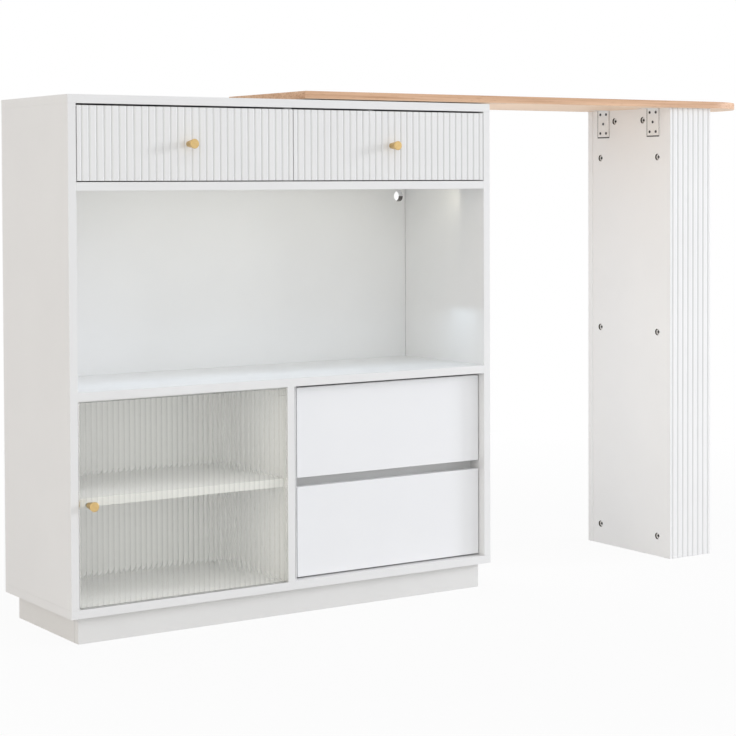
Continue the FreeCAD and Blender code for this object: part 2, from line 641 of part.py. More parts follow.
def make_glass_door():
    """A frameless pane with upright hollow reeds on its back, a knob and two pivot clips."""
    body = doc.addObject("PartDesign::Body", "pane_body")
    blank = sketch(body, "pane_outline", "XY_Plane")
    rectangle(blank, "0", "0", "glass_width", "glass_thickness")
    pad(body, blank, "glass_height")
    drill = sketch(body, "pane_hole", "XZ_Plane")
    circle(drill, "door_knob_inset", "glass_height / 2", "knob_hole_radius")
    pocket(body, "pane_drill", drill, False)
    reed = sketch(body, "pane_reed", "XY_Plane")
    circle(reed, "reed_start", "glass_thickness - reed_depth + reed_radius", "reed_radius")
    repeat(body, pocket(body, "pane_hollow", reed, True), "reed_count", "reed_pitch")
    place(body, "glass_x", "front_y", "glass_z")
    keep(body, "reeded_glass_pane")
    knob = ("glass_x + door_knob_inset", "front_y", "glass_z + glass_height / 2")
    make_knob("glass_door", *knob)
    make_knob_screw("glass_door", *knob, "glass_thickness")

    clips = []
    bushes = []
    clip_x = "glass_x + glass_width - clip_width"
    plate_y = "front_y + glass_thickness + door_stop_gap"
    tab_y = "front_y + glass_thickness - clip_tab_reach"
    tab_depth = "clip_tab_reach + door_stop_gap + clip_thickness"
    glass_top = "glass_z + glass_height"
    ends = (("low", "glass_z", "glass_z - clip_tab_thickness", "glass_z - pivot_pin_reach",
             "base_top - pivot_bush_depth"),
            ("high", f"{glass_top} - clip_height", glass_top, glass_top, "counter_underside"))
    for end, plate_z, tab_z, pin_z, bush_z in ends:
        plate = box(f"{end}_clip_plate", (clip_x, plate_y, plate_z),
                    ("clip_width", "clip_thickness", "clip_height"))
        tab = box(f"{end}_clip_tab", (clip_x, tab_y, tab_z), ("clip_width", tab_depth, "clip_tab_thickness"))
        pin = rod(f"{end}_clip_pin", ("pivot_x", "pivot_y", pin_z), "pivot_pin_diameter / 2",
                  "pivot_pin_reach", "z")
        clips.append(fuse(f"{end}_clip", [plate, tab, pin]))
        ring = rod(f"{end}_bush_ring", ("pivot_x", "pivot_y", bush_z), "pivot_bush_diameter / 2",
                   "pivot_bush_depth", "z")
        bore = rod(f"{end}_bush_bore", ("pivot_x", "pivot_y", f"{bush_z} - overrun"),
                   "pivot_pin_diameter / 2 + pivot_clearance", "pivot_bush_depth + 2 * overrun", "z")
        bushes.append(cut(f"{end}_bush", ring, [bore]))
    keep(group("clip_pair", clips), "door_pivot_clips")
    keep(group("bush_pair", bushes), "door_pivot_bushes")


def table_bolt_rows():
    """Distances of the two table bolts across the table."""
    return ("front_y + table_bolt_from_edge", "back_y - table_bolt_from_edge")


def make_table():
    """The long board with one square end and one half round end, its two bolts and their rings."""
    body = doc.addObject("PartDesign::Body", "table_body")
    outline = sketch(body, "table_outline", "XY_Plane")
    straight = amount("table_length - table_radius")
    depth = amount("cabinet_depth")
    radius = amount("table_radius")
    corners = [FreeCAD.Vector(straight, depth, 0), FreeCAD.Vector(0, depth, 0),
               FreeCAD.Vector(0, 0, 0), FreeCAD.Vector(straight, 0, 0)]
    for first, second in zip(corners, corners[1:]):
        outline.addGeometry(Part.LineSegment(first, second), False)
    tip = FreeCAD.Vector(straight + radius, radius, 0)
    outline.addGeometry(Part.Arc(corners[3], tip, corners[0]), False)
    outline.addConstraint(Sketcher.Constraint("Coincident", 0, 2, 1, 1))
    outline.addConstraint(Sketcher.Constraint("Coincident", 1, 2, 2, 1))
    outline.addConstraint(Sketcher.Constraint("Coincident", 2, 2, 3, 1))
    outline.addConstraint(Sketcher.Constraint("Coincident", 3, 2, 0, 1))
    hold(outline, 1, 1, "0", "cabinet_depth")
    hold(outline, 1, 2, "0", "0")
    hold(outline, 2, 2, "table_length - table_radius", "0")
    hold(outline, 0, 1, "table_length - table_radius", "cabinet_depth")
    tie(outline, "DistanceX", 3, 3, "table_length - table_radius")
    board = pad(body, outline, "table_thickness")
    doc.recompute()
    rims = [f"Edge{index}" for index, edge in enumerate(board.Shape.Edges, start=1)
            if edge.BoundBox.ZLength < amount("table_edge_bevel")]
    bevel = body.newObject("PartDesign::Chamfer", "table_bevel")
    bevel.Base = (board, rims)
    bind(bevel, Size="table_edge_bevel")
    place(body, "table_x", "front_y", "table_z")

    holes = [rod(f"table_hole_{index}", ("bolt_x", y, "table_z - overrun"), "bolt_hole_radius",
                 "overrun + table_bolt_bite + pin_hole_clearance", "z")
             for index, y in enumerate(table_bolt_rows())]
    for index, y in enumerate(bracket_rows()):
        holes.append(box(f"table_recess_{index}", ("leg_face_x - bracket_length - bracket_recess_play",
                                                   f"{y} - bracket_recess_play", "table_z - overrun"),
                         ("bracket_length + 2 * bracket_recess_play",
                          "bracket_width + 2 * bracket_recess_play", "overrun + bracket_sheet")))
    for index, (x, y) in enumerate(table_screw_places()):
        holes.append(rod(f"table_pilot_{index}", (x, y, "table_z"), "bracket_screw_hole_radius",
                         "bracket_sheet + bracket_screw_length + pin_hole_clearance", "z"))
    keep(cut("table_cut", body, holes), "table_top")

    bolts = []
    for index, y in enumerate(table_bolt_rows()):
        washer_z = "top_underside - table_washer_thickness"
        washer = rod(f"bolt_washer_{index}", ("bolt_x", y, washer_z), "table_washer_diameter / 2",
                     "table_washer_thickness", "z")
        head = rod(f"bolt_head_{index}", ("bolt_x", y, f"{washer_z} - table_bolt_head_height"),
                   "table_bolt_head_diameter / 2", "table_bolt_head_height", "z")
        shank = rod(f"bolt_shank_{index}", ("bolt_x", y, washer_z), "table_bolt_diameter / 2",
                    "table_washer_thickness + panel_thickness + table_lift + table_bolt_bite", "z")
        bolts.append(fuse(f"bolt_{index}", [washer, head, shank]))
        ring = rod(f"bolt_ring_{index}", ("bolt_x", y, "cabinet_height"), "table_washer_diameter / 2",
                   "table_lift", "z")
        bore = rod(f"bolt_ring_bore_{index}", ("bolt_x", y, "cabinet_height - overrun"), "bolt_hole_radius",
                   "table_lift + 2 * overrun", "z")
        bolts.append(cut(f"bolt_ring_cut_{index}", ring, [bore]))
    keep(group("bolt_pair", bolts), "table_bolts")


def bracket_rows():
    """Front edges of the two angle brackets."""
    return ("leg_front_y + bracket_edge_inset",
            "leg_front_y + leg_depth - bracket_edge_inset - bracket_width")


def bracket_hole_rows(start):
    """Two rows of screw holes across a bracket that starts here."""
    return (f"{start} + bracket_hole_inset", f"{start} + bracket_width - bracket_hole_inset")


def leg_screw_places():
    """Screws of each bracket in the leg, four at the corners and one in the middle: across and height."""
    heights = ("table_z - bracket_hole_inset",
               "table_z - bracket_height + bracket_hole_inset")
    brackets = []
    for start in bracket_rows():
        corners = [(y, z) for y in bracket_hole_rows(start) for z in heights]
        brackets.append(corners + [(f"{start} + bracket_width / 2", "table_z - bracket_height / 2")])
    return brackets


def table_screw_places():
    """Bracket screws in the table: distance along and across it."""
    x = "leg_face_x - bracket_length + bracket_hole_inset"
    return [(x, y) for start in bracket_rows() for y in bracket_hole_rows(start)]


def make_brackets():
    """Two steel angles that tie the leg to the table, and their screws."""
    flange_x = "leg_face_x - bracket_sheet"
    brackets = []
    for index, y in enumerate(bracket_rows()):
        upright = box(f"bracket_upright_{index}", (flange_x, y, "table_z - bracket_height"),
                      ("bracket_sheet", "bracket_width", "bracket_height + bracket_sheet"))
        flat = box(f"bracket_flat_{index}", ("leg_face_x - bracket_length", y, "table_z"),
                   ("bracket_length", "bracket_width", "bracket_sheet"))
        angle = fuse(f"bracket_angle_{index}", [upright, flat])
        through = ("bracket_hole_diameter / 2", "bracket_sheet + 2 * overrun")
        tools = []
        for hole, (row, z) in enumerate(leg_screw_places()[index]):
            tools.append(rod(f"bracket_leg_hole_{index}_{hole}", (f"{flange_x} - overrun", row, z),
                             *through, "x"))
        for hole, (x, row) in enumerate(table_screw_places()[2 * index:2 * index + 2]):
            tools.append(rod(f"bracket_table_hole_{index}_{hole}", (x, row, "table_z - overrun"),
                             *through, "z"))
            tools.append(rod(f"bracket_head_seat_{index}_{hole}", (x, row, "table_z - overrun"),
                             "bracket_screw_head_diameter / 2 + pin_hole_clearance",
                             "overrun + bracket_screw_head_height", "z"))
        brackets.append(cut(f"bracket_{index}", angle, tools))
    keep(group("bracket_pair", brackets), "leg_brackets")

    screws = []
    for index, (y, z) in enumerate(sum(leg_screw_places(), [])):
        head = rod(f"leg_screw_head_{index}", (f"{flange_x} - bracket_screw_head_height", y, z),
                   "bracket_screw_head_diameter / 2", "bracket_screw_head_height", "x")
        shank = rod(f"leg_screw_shank_{index}", (flange_x, y, z), "bracket_screw_diameter / 2",
                    "bracket_sheet + bracket_screw_length", "x")
        screws.append(fuse(f"leg_screw_{index}", [head, shank]))
    for index, (x, y) in enumerate(table_screw_places()):
        head = rod(f"table_screw_head_{index}", (x, y, "table_z"), "bracket_screw_head_diameter / 2",
                   "bracket_screw_head_height", "z")
        shank = rod(f"table_screw_shank_{index}", (x, y, "table_z"), "bracket_screw_diameter / 2",
                    "bracket_sheet + bracket_screw_length", "z")
        screws.append(fuse(f"table_screw_{index}", [head, shank]))
    keep(group("bracket_screw_set", screws), "bracket_screws")


def cam_places():
    """Cam locks in the inner leg board: distance across the table and height."""
    edges = ("leg_panel_y + cam_edge_inset", "leg_panel_y + leg_panel_width - cam_edge_inset")
    heights = ("cam_low_height", "cam_middle_height", "table_z - cam_high_drop")
    places = [(y, z) for z in heights for y in edges]
    for shift in ("- cam_top_spacing / 2", "+ cam_top_spacing / 2"):
        places.append((f"middle_y {shift}", "table_z - cam_top_drop"))
    return places


def make_leg():
    """Two fluted boards front and back, two plain boards between them, and the cam locks."""
    boards = (("leg_front_panel", "leg_left_x", "leg_front_y", 0),
              ("leg_back_panel", "leg_right_x", "leg_front_y + leg_depth", 180))
    for name, x, y, turn in boards:
        board = fluted_board(f"{name}_board", "leg_width", "leg_panel_thickness", "table_z")
        board.Placement = FreeCAD.Placement(FreeCAD.Vector(), FreeCAD.Rotation(turn, 0, 0))
        place(board, x, y, "0")
        keep(board, name)

    inner = box("leg_inner_blank", ("leg_face_x", "leg_panel_y", "0"),
                ("leg_panel_thickness", "leg_panel_width", "table_z"))
    tools = []
    cams = []
    for index, (y, z) in enumerate(cam_places()):
        tools.append(rod(f"cam_pocket_{index}", ("leg_face_x - overrun", y, z),
                         "cam_radius + pin_hole_clearance", "cam_depth + overrun", "x"))
        disc = rod(f"cam_disc_{index}", ("leg_face_x + cam_sink", y, z), "cam_radius",
                   "cam_depth - cam_sink", "x")
        slots = []
        for way, width, height in (("flat", "cam_slot_length", "cam_slot_width"),
                                   ("upright", "cam_slot_width", "cam_slot_length")):
            slots.append(box(f"cam_slot_{index}_{way}",
                             ("leg_face_x + cam_sink - overrun", f"{y} - {width} / 2", f"{z} - {height} / 2"),
                             ("overrun + cam_slot_depth", width, height)))
        cams.append(cut(f"cam_{index}", disc, [fuse(f"cam_cross_{index}", slots)]))
    for index, (y, z) in enumerate(sum(leg_screw_places(), [])):
        tools.append(rod(f"leg_pilot_{index}", ("leg_face_x - overrun", y, z),
                         "bracket_screw_hole_radius",
                         "overrun + bracket_screw_length + pin_hole_clearance", "x"))
    keep(cut("leg_inner_cut", inner, tools), "leg_inner_panel")
    keep(group("cam_set", cams), "leg_cam_locks")
    keep(box("leg_outer", ("leg_right_x - leg_panel_recess - leg_panel_thickness", "leg_panel_y", "0"),
             ("leg_panel_thickness", "leg_panel_width", "table_z")), "leg_outer_panel")


def check_and_write():
    """Stop at anything that failed to build, then write one file for each sub-part."""
    doc.recompute()
    for item in doc.Objects:
        if "Invalid" in item.State or "Error" in item.State:
            raise RuntimeError(f"{item.Name} failed: {item.State}")
    for item in nodes:
        if item.Shape.isNull() or not item.Shape.isValid() or not item.Shape.Solids:
            raise RuntimeError(f"{item.Label} has no valid solid")
    os.makedirs("parts", exist_ok=True)
    for item in nodes:
        item.Shape.exportStep(f"parts/{item.Label}.step")


make_carcass()
make_shelf_pins()
make_plinth()
make_upper_drawers()
make_lower_drawers()
make_glass_door()
make_table()
make_brackets()
make_leg()
keep(group("rail_set", rails), "drawer_rails")
check_and_write()
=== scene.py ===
"""Looks of the bar table: finishes, reeded glass, soft studio light and the camera."""

import math

import bpy
from mathutils import Matrix, Vector


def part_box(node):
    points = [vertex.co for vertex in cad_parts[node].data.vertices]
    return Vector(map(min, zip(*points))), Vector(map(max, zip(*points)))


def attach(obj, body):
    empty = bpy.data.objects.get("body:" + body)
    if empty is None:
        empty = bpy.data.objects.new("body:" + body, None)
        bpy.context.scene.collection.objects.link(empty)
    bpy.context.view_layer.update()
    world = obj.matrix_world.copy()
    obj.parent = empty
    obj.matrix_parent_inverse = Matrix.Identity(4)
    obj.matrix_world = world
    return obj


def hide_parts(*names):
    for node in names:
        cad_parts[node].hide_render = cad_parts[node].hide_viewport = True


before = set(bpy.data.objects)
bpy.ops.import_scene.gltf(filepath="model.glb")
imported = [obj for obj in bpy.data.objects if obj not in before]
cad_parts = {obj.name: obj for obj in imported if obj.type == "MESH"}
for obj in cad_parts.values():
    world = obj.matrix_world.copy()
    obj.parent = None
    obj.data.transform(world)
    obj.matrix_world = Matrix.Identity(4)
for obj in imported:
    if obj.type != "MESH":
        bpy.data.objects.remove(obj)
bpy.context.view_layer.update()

# Camera, fitted to the corners of the object
CAMERA_PLACE = Vector((-2.3374, -3.3471, 0.8352))
CAMERA_YAW = math.radians(33.46)
CAMERA_PITCH = math.radians(-1.61)
CAMERA_ROLL = math.radians(-0.222)
CAMERA_LENS = 95.296
CAMERA_SENSOR = 36.0
CAMERA_SHIFT = -0.1761

# Edges of the boards and of the metal pieces
BOARD_ROUNDING = 0.0006
METAL_ROUNDING = 0.00015
ROUNDING_STEPS = 2
ROUNDING_ANGLE = math.radians(25)
WELD_REACH = 0.00001
FLAT_ANGLE = math.radians(0.5)
SHARP_ANGLE = math.radians(25)

# Reeded pane
REED_PITCH = 0.011
REED_DEPTH = 0.0009
REED_STEPS = 16
# Painted shade across each reed: from clear at one flank to this factor at the other
REED_PAINTED_SHADE = 0.905
REED_SHARP_ANGLE = math.radians(30)

# Boards with drilled holes, by the axis of their thickness; a board's ends are a share of its length
BORED_BOARDS = {"leg_inner_panel": "X", "left_side_panel": "X", "lower_divider": "X", "back_panel": "Y",
                "bottom_panel": "Z", "counter_shelf": "Z", "top_panel": "Z"}
BOARD_END = 0.004
# The cable hole's wall is dark below this height: painted shade
CABLE_HOLE_MIDDLE = 0.808

# How far the enamel reaches into the slots of the cams
SLOT_LIP = 0.0004

# Directions of faces, and the scale of a pattern that is alike along every axis
DOWNWARD = -0.7
MOSTLY = 0.5
EVEN = (1, 1, 1)

# Pieces with a finish of their own within their slot
OWN_FINISH = {"leg_cam_locks": "cams", "upper_left_drawer_front": "fluted_drawer",
              "upper_right_drawer_front": "fluted_drawer", "leg_front_panel": "fluted_leg_front",
              "leg_back_panel": "fluted_leg_back", "lower_top_drawer_front": "painted_light_front",
              "lower_bottom_drawer_front": "painted_light_front", "plinth_front_board": "plinth",
              "plinth_left_board": "plinth", "plinth_right_board": "plinth", "plinth_back_board": "plinth"}

# Fluted boards: the darker tone down in their grooves, which stands in for shade.
# A share of the depth counts as groove while it is this near to the middle, so the flat face doesn't.
FLUTE_DEPTH = 0.0017
FLUTE_SHARE_REACH = 0.499
GROOVE_HALFWAY = (0.98, 0.98, 0.98)
GROOVE_DEEPEST = (0.76, 0.76, 0.76)

# Dark sheets behind the leg's bracket plates, larger than the plates: painted shadow beside and below them
PLATE_WIDTH = 0.037
SHADOW_SHEET_THICKNESS = 0.0005
SHADOW_SHEET_BESIDE = 0.0038
SHADOW_SHEET_BELOW = 0.0026

# Studio
FLOOR_SIZE = 40.0
FLOOR_COLOUR = (0.7, 0.7, 0.7, 1)
FLOOR_WHITE_NEAR = 0.93
FLOOR_FADE = (0.9, 2.4)
WORLD_COLOUR = (0.978, 0.98, 1.0, 1)
WORLD_LIGHT = 0.965
WORLD_LIGHT_BEHIND = 0.6
WORLD_LIGHT_FADE = (-1.0, 0.2)

# Lamps: name, place, target, width and height, power, colour
LAMPS = (
    ("key", (9.0, -3.2, 2.6), (-0.2, -0.1, 0.6), (2.0, 2.0), 355, (0.92, 0.935, 1.0)),
    ("front_fill", (-3.5, -4.0, 1.6), (-0.1, 0.0, 0.6), (3.0, 3.0), 20, (0.95, 1.0, 0.90)),
    ("left_fill", (-5.0, -0.5, 1.5), (-0.1, 0.0, 0.6), (3.0, 3.0), 27, (1.0, 0.80, 0.58)),
    ("back_fill", (-0.1, 4.8, 0.5), (-0.1, 0.0, 0.5), (1.4, 0.8), 42, (1.0, 0.98, 0.96)),
    ("niche_top_card", (-0.3875, -0.06, 0.805), (-0.3875, 0.2, 0.78), (0.88, 0.03), 0.160,
     (1.0, 0.96, 0.80)),
    ("counter_card", (-0.3875, -0.07, 0.58), (-0.3875, -0.07, 0.2), (0.88, 0.08), 0.19, (0.66, 0.83, 1.0)),
    ("upper_bay_card", (-0.624, -0.128, 0.355), (-0.624, 0.2, 0.355), (0.36, 0.15), 0.089,
     (0.98, 0.98, 1.0)),
    ("lower_bay_card", (-0.624, -0.128, 0.158), (-0.624, 0.2, 0.158), (0.36, 0.15), 0.080,
     (0.98, 0.98, 1.0)),
    ("leg_card", (0.12, 0.0, 0.5), (0.6, 0.0, 0.5), (0.25, 0.9), 0.60, (1.0, 0.96, 0.92)),
    ("leg_front_card", (1.1, -0.95, 0.5), (0.65, -0.13, 0.5), (0.3, 0.9), 1.5, (0.97, 0.98, 1.0)),
)


def new_material(name):
    """An empty Principled material, its node tree and its shader."""
    material = bpy.data.materials.new(name)
    material.use_nodes = True
    tree = material.node_tree
    return material, tree, tree.nodes["Principled BSDF"]


def put(tree, kind, settings=None, **inputs):
    """A node of that kind, with its settings; an input is a plain value or a socket to link."""
    node = tree.nodes.new("ShaderNode" + kind)
    for name, value in (settings or {}).items():
        setattr(node, name, value)
    for name, value in inputs.items():
        plug(tree, node.inputs[name], value)
    return node


def plug(tree, socket, value):
    """Sets a socket to a value, or links it to another node's socket."""
    if isinstance(value, bpy.types.NodeSocket):
        tree.links.new(value, socket)
    else:
        socket.default_value = value


def stretched(tree, scale):
    """Object coordinates in metres, multiplied along each axis."""
    coordinates = put(tree, "TexCoord").outputs["Object"]
    return put(tree, "Mapping", Vector=coordinates, Scale=scale).outputs["Vector"]


def noise(tree, vector, scale, detail=3.0, distortion=0.0):
    """Soft noise between 0 and 1."""
    return put(tree, "TexNoise", Vector=vector, Scale=scale, Detail=detail,
               Distortion=distortion).outputs["Fac"]


def ramp(tree, factor, *stops):
    """Colours by factor, given as (place, colour) pairs."""
    node = put(tree, "ValToRGB", Fac=factor)
    elements = node.color_ramp.elements
    while len(elements) < len(stops):
        elements.new(1.0)
    for element, (place, colour) in zip(elements, stops):
        element.position = place
        element.color = (*colour, 1)
    return node.outputs["Color"]


def spread(tree, factor, low, high, start=0.3, end=0.7):
    """Part of a factor's range, the noise's usual part unless given, mapped to a range of values."""
    node = put(tree, "MapRange", Value=factor)
    for name, value in zip(("From Min", "From Max", "To Min", "To Max"), (start, end, low, high)):
        node.inputs[name].default_value = value
    return node.outputs["Result"]


def mixed(tree, factor, first, second, blend="MIX"):
    """Two colours, blended."""
    node = put(tree, "Mix", {"data_type": "RGBA", "blend_type": blend})
    plug(tree, node.inputs["Factor"], factor)
    plug(tree, node.inputs["A"], first)
    plug(tree, node.inputs["B"], second)
    return node.outputs["Result"]


def bumped(tree, height, strength, distance, under=None):
    """A bump from a height, over another bump where there is one."""
    node = put(tree, "Bump", Height=height, Strength=strength, Distance=distance)
    if under is not None:
        tree.links.new(under, node.inputs["Normal"])
    return node.outputs["Normal"]


def computed(tree, operation, *values):
    """The result of a math operation or comparison."""
    node = put(tree, "Math", {"operation": operation})
    for socket, value in zip(node.inputs, values):
        plug(tree, socket, value)
    return node.outputs["Value"]


def place_along(tree, axis, space="Object"):
    """Place along an axis: in metres, or by Generated as a share of the piece's box.
    For the world, Generated is the direction the light comes from."""
    return put(tree, "SeparateXYZ", Vector=put(tree, "TexCoord").outputs[space]).outputs[axis]


def direction_along(tree, axis):
    """How much a face looks along an axis, from -1 to 1."""
    return put(tree, "SeparateXYZ", Vector=put(tree, "NewGeometry").outputs["True Normal"]).outputs[axis]


def within_holes(tree, thin):
    """1 on the walls of a board's holes: upright to its thickness and away from its own edges."""
    total = 0.0
    for axis in sorted({"X", "Y", "Z"} - {thin}):
        facing = computed(tree, "ABSOLUTE", direction_along(tree, axis))
        middle = computed(tree, "COMPARE", place_along(tree, axis, "Generated"), 0.5, 0.5 - BOARD_END)
        total = computed(tree, "MULTIPLY_ADD", facing, middle, total)
    return computed(tree, "GREATER_THAN", total, MOSTLY)


def facing_down(tree):
    """1 on the underside of a board."""
    return computed(tree, "LESS_THAN", direction_along(tree, "Z"), DOWNWARD)


def painted_board(name, pale, deep, roughness, thin=None, below=None):
    """Board with a satin foil: faint cloudy tone, a fine orange-peel surface, raw chips in its holes,
    darkened as painted shade. Thin is its thickness axis; with a height given, only walls below it are dark."""
    material, tree, shader = new_material(name)
    cloud = noise(tree, stretched(tree, EVEN), 7, 4)
    peel = noise(tree, stretched(tree, EVEN), 1100, 2)
    rub = noise(tree, stretched(tree, EVEN), 90, 3)
    colour = ramp(tree, cloud, (0.3, deep), (0.7, pale))
    if thin:
        chips = noise(tree, stretched(tree, EVEN), 900, 3)
        # Raw chipboard on the hole walls, darkened to near black: partly the raw core, partly painted shade
        raw_core_and_shade = ramp(tree, chips, (0.35, (0.03, 0.024, 0.018)), (0.65, (0.08, 0.063, 0.045)))
        raw_and_shaded = within_holes(tree, thin)
        # Only the walls below the height stay dark: painted shade in the lower half of the cable hole
        if below:
            low_down = computed(tree, "LESS_THAN", place_along(tree, "Z"), below)
            raw_and_shaded = computed(tree, "MULTIPLY", raw_and_shaded, low_down)
        colour = mixed(tree, raw_and_shaded, colour, raw_core_and_shade)
    plug(tree, shader.inputs["Base Color"], colour)
    plug(tree, shader.inputs["Roughness"], spread(tree, rub, roughness - 0.05, roughness + 0.06))
    plug(tree, shader.inputs["Normal"], bumped(tree, peel, 0.08, 0.0002))
    shader.inputs["Specular IOR Level"].default_value = 0.4
    return material


def oak_board():
    """Light oak: straight streaks along the board, fine fibres and short open pores."""
    material, tree, shader = new_material("light_oak")
    broad = noise(tree, stretched(tree, (0.9, 26, 60)), 1.6, 4, 0.5)
    streak = noise(tree, stretched(tree, (1.6, 90, 150)), 2.2, 5, 0.3)
    fibre = noise(tree, stretched(tree, (9, 900, 900)), 1.0, 3)
    pore = noise(tree, stretched(tree, (42, 1500, 1500)), 1.0, 1)
    tone = ramp(tree, broad, (0.3, (0.63, 0.376, 0.222)), (0.52, (0.73, 0.466, 0.296)),
                (0.72, (0.80, 0.54, 0.357)))
    lines = ramp(tree, streak, (0.34, (0.80, 0.73, 0.67)), (0.5, (1, 1, 1)), (0.68, (1.06, 1.05, 1.03)))
    hair = ramp(tree, fibre, (0.3, (0.93, 0.91, 0.89)), (0.6, (1, 1, 1)))
    holes = ramp(tree, pore, (0.27, (0.66, 0.56, 0.48)), (0.34, (1, 1, 1)))
    colour = mixed(tree, 1.0, tone, lines, "MULTIPLY")
    colour = mixed(tree, 1.0, colour, hair, "MULTIPLY")
    colour = mixed(tree, 0.8, colour, holes, "MULTIPLY")
    # A paler tone on the underside of the board
    underside_tone = ramp(tree, streak, (0.3, (0.82, 0.60, 0.43)), (0.7, (0.88, 0.66, 0.48)))
    colour = mixed(tree, facing_down(tree), colour, underside_tone)
    plug(tree, shader.inputs["Base Color"], colour)
    plug(tree, shader.inputs["Roughness"], spread(tree, streak, 0.56, 0.44))
    shader.inputs["Specular IOR Level"].default_value = 0.42
    grain = bumped(tree, fibre, 0.15, 0.0002)
    plug(tree, shader.inputs["Normal"], bumped(tree, holes, 0.2, 0.0002, grain))
    return material


def cam_enamel():
    """White enamel of the cams, with painted shade down in their cross slots."""
    material = painted_board("cam_enamel", (0.84, 0.83, 0.815), (0.81, 0.80, 0.785), 0.4)
    tree = material.node_tree
    colour = tree.nodes["Principled BSDF"].inputs["Base Color"]
    in_slots = computed(tree, "GREATER_THAN", place_along(tree, "X"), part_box("leg_cam_locks")[0].x + SLOT_LIP)
    speckle = noise(tree, stretched(tree, EVEN), 800, 2)
    # Near-black painted shade down in the cross slots
    slot_painted_shade = ramp(tree, speckle, (0.3, (0.02, 0.02, 0.02)), (0.7, (0.05, 0.05, 0.05)))
    plug(tree, colour, mixed(tree, in_slots, colour.links[0].from_socket, slot_painted_shade))
    return material


def metal(name, pale, deep, roughness, scale, scratch):
    """Metal with a mottled tone and fine marks drawn along one direction."""
    material, tree, shader = new_material(name)
    mottle = noise(tree, stretched(tree, EVEN), scale, 3)
    marks = noise(tree, stretched(tree, scratch), 1.0, 2)
    plug(tree, shader.inputs["Base Color"], ramp(tree, mottle, (0.32, deep), (0.68, pale)))
    plug(tree, shader.inputs["Roughness"], spread(tree, marks, roughness - 0.06, roughness + 0.1))
    plug(tree, shader.inputs["Normal"], bumped(tree, marks, 0.06, 0.0001))
    shader.inputs["Metallic"].default_value = 1.0
    return material


def moulded_plastic(name, pale, deep, roughness):
    """Matt moulded plastic with a fine spark-eroded grain."""
    material, tree, shader = new_material(name)
    cloud = noise(tree, stretched(tree, EVEN), 60, 3)
    grain = noise(tree, stretched(tree, EVEN), 2600, 2)
    plug(tree, shader.inputs["Base Color"], ramp(tree, cloud, (0.3, deep), (0.7, pale)))
    plug(tree, shader.inputs["Roughness"], spread(tree, grain, roughness - 0.06, roughness + 0.06))
    plug(tree, shader.inputs["Normal"], bumped(tree, grain, 0.15, 0.0001))
    return material


def see_through(name, pale, deep, roughness, index):
    """Clear glass or plastic that lets light through to what stands behind it."""
    material, tree, shader = new_material(name)
    haze = noise(tree, stretched(tree, (1, 1, 0.3)), 160, 3)
    plug(tree, shader.inputs["Base Color"], ramp(tree, haze, (0.3, deep), (0.7, pale)))
    plug(tree, shader.inputs["Roughness"], spread(tree, haze, roughness, roughness + 0.03))
    shader.inputs["IOR"].default_value = index
    shader.inputs["Transmission Weight"].default_value = 1.0
    clear = put(tree, "BsdfTransparent", Color=(*pale, 1))
    path = put(tree, "LightPath").outputs
    passing = computed(tree, "MAXIMUM", path["Is Shadow Ray"], path["Is Diffuse Ray"])
    blend_shaders(tree, passing, shader.outputs["BSDF"], clear.outputs["BSDF"])
    return material


def blend_shaders(tree, factor, first, second, output="Material Output"):
    """Two shaders, blended into the surface of a material or of the world."""
    blend = put(tree, "MixShader", Fac=factor)
    tree.links.new(first, blend.inputs[1])
    tree.links.new(second, blend.inputs[2])
    tree.links.new(blend.outputs["Shader"], tree.nodes[output].inputs["Surface"])


def reeded_glass():
    """Clear glass, faintly green; painted shade on one flank of each reed and on the top and bottom edges.
    """
    material = see_through("reeded_glass", (0.994, 0.995, 0.972), (0.986, 0.988, 0.963), 0.02, 1.5)
    tree = material.node_tree
    shader = tree.nodes["Principled BSDF"]
    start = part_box("reeded_glass_pane")[0].x + reed_margin()
    along = computed(tree, "SUBTRACT", place_along(tree, "X"), start)
    flank = computed(tree, "FRACT", computed(tree, "DIVIDE", along, REED_PITCH))
    # Painted shade, darker from one flank of each reed to the other
    shade = ramp(tree, flank, (0.0, (1, 1, 1)), (1.0, (REED_PAINTED_SHADE, REED_PAINTED_SHADE, REED_PAINTED_SHADE)))
    plain = shader.inputs["Base Color"].links[0].from_socket
    plug(tree, shader.inputs["Base Color"], mixed(tree, 1.0, plain, shade, "MULTIPLY"))
    # Near-black top and bottom edges: painted shade
    level = computed(tree, "ABSOLUTE", direction_along(tree, "Z"))
    shaded_edge = computed(tree, "GREATER_THAN", level, MOSTLY)
    grit = noise(tree, stretched(tree, EVEN), 1400, 2)
    edge_shade_colour = ramp(tree, grit, (0.3, (0.02, 0.03, 0.025)), (0.7, (0.05, 0.07, 0.06)))
    edge = put(tree, "BsdfDiffuse", Color=edge_shade_colour)
    clear = tree.nodes["Material Output"].inputs["Surface"].links[0].from_socket
    blend_shaders(tree, shaded_edge, clear, edge.outputs["BSDF"])
    return material


def white_foil(name, thin=None, below=None):
    """White board of the cabinet and the leg."""
    return painted_board(name, (0.86, 0.86, 0.855), (0.84, 0.84, 0.836), 0.36, thin, below)


def fluted_foil(name, face, inward):
    """White board with painted shade down in its grooves, which start at a face and run inward."""
    material = white_foil(name)
    tree = material.node_tree
    colour = tree.nodes["Principled BSDF"].inputs["Base Color"]
    share = spread(tree, place_along(tree, "Y"), 0.0, 1.0, face, face + inward * FLUTE_DEPTH)
    inside = computed(tree, "COMPARE", share, 0.5, FLUTE_SHARE_REACH)
    depth = computed(tree, "MULTIPLY", share, inside)
    shade = ramp(tree, depth, (0.0, (1, 1, 1)), (0.5, GROOVE_HALFWAY), (1.0, GROOVE_DEEPEST))
    plug(tree, colour, mixed(tree, 1.0, colour.links[0].from_socket, shade, "MULTIPLY"))
    return material


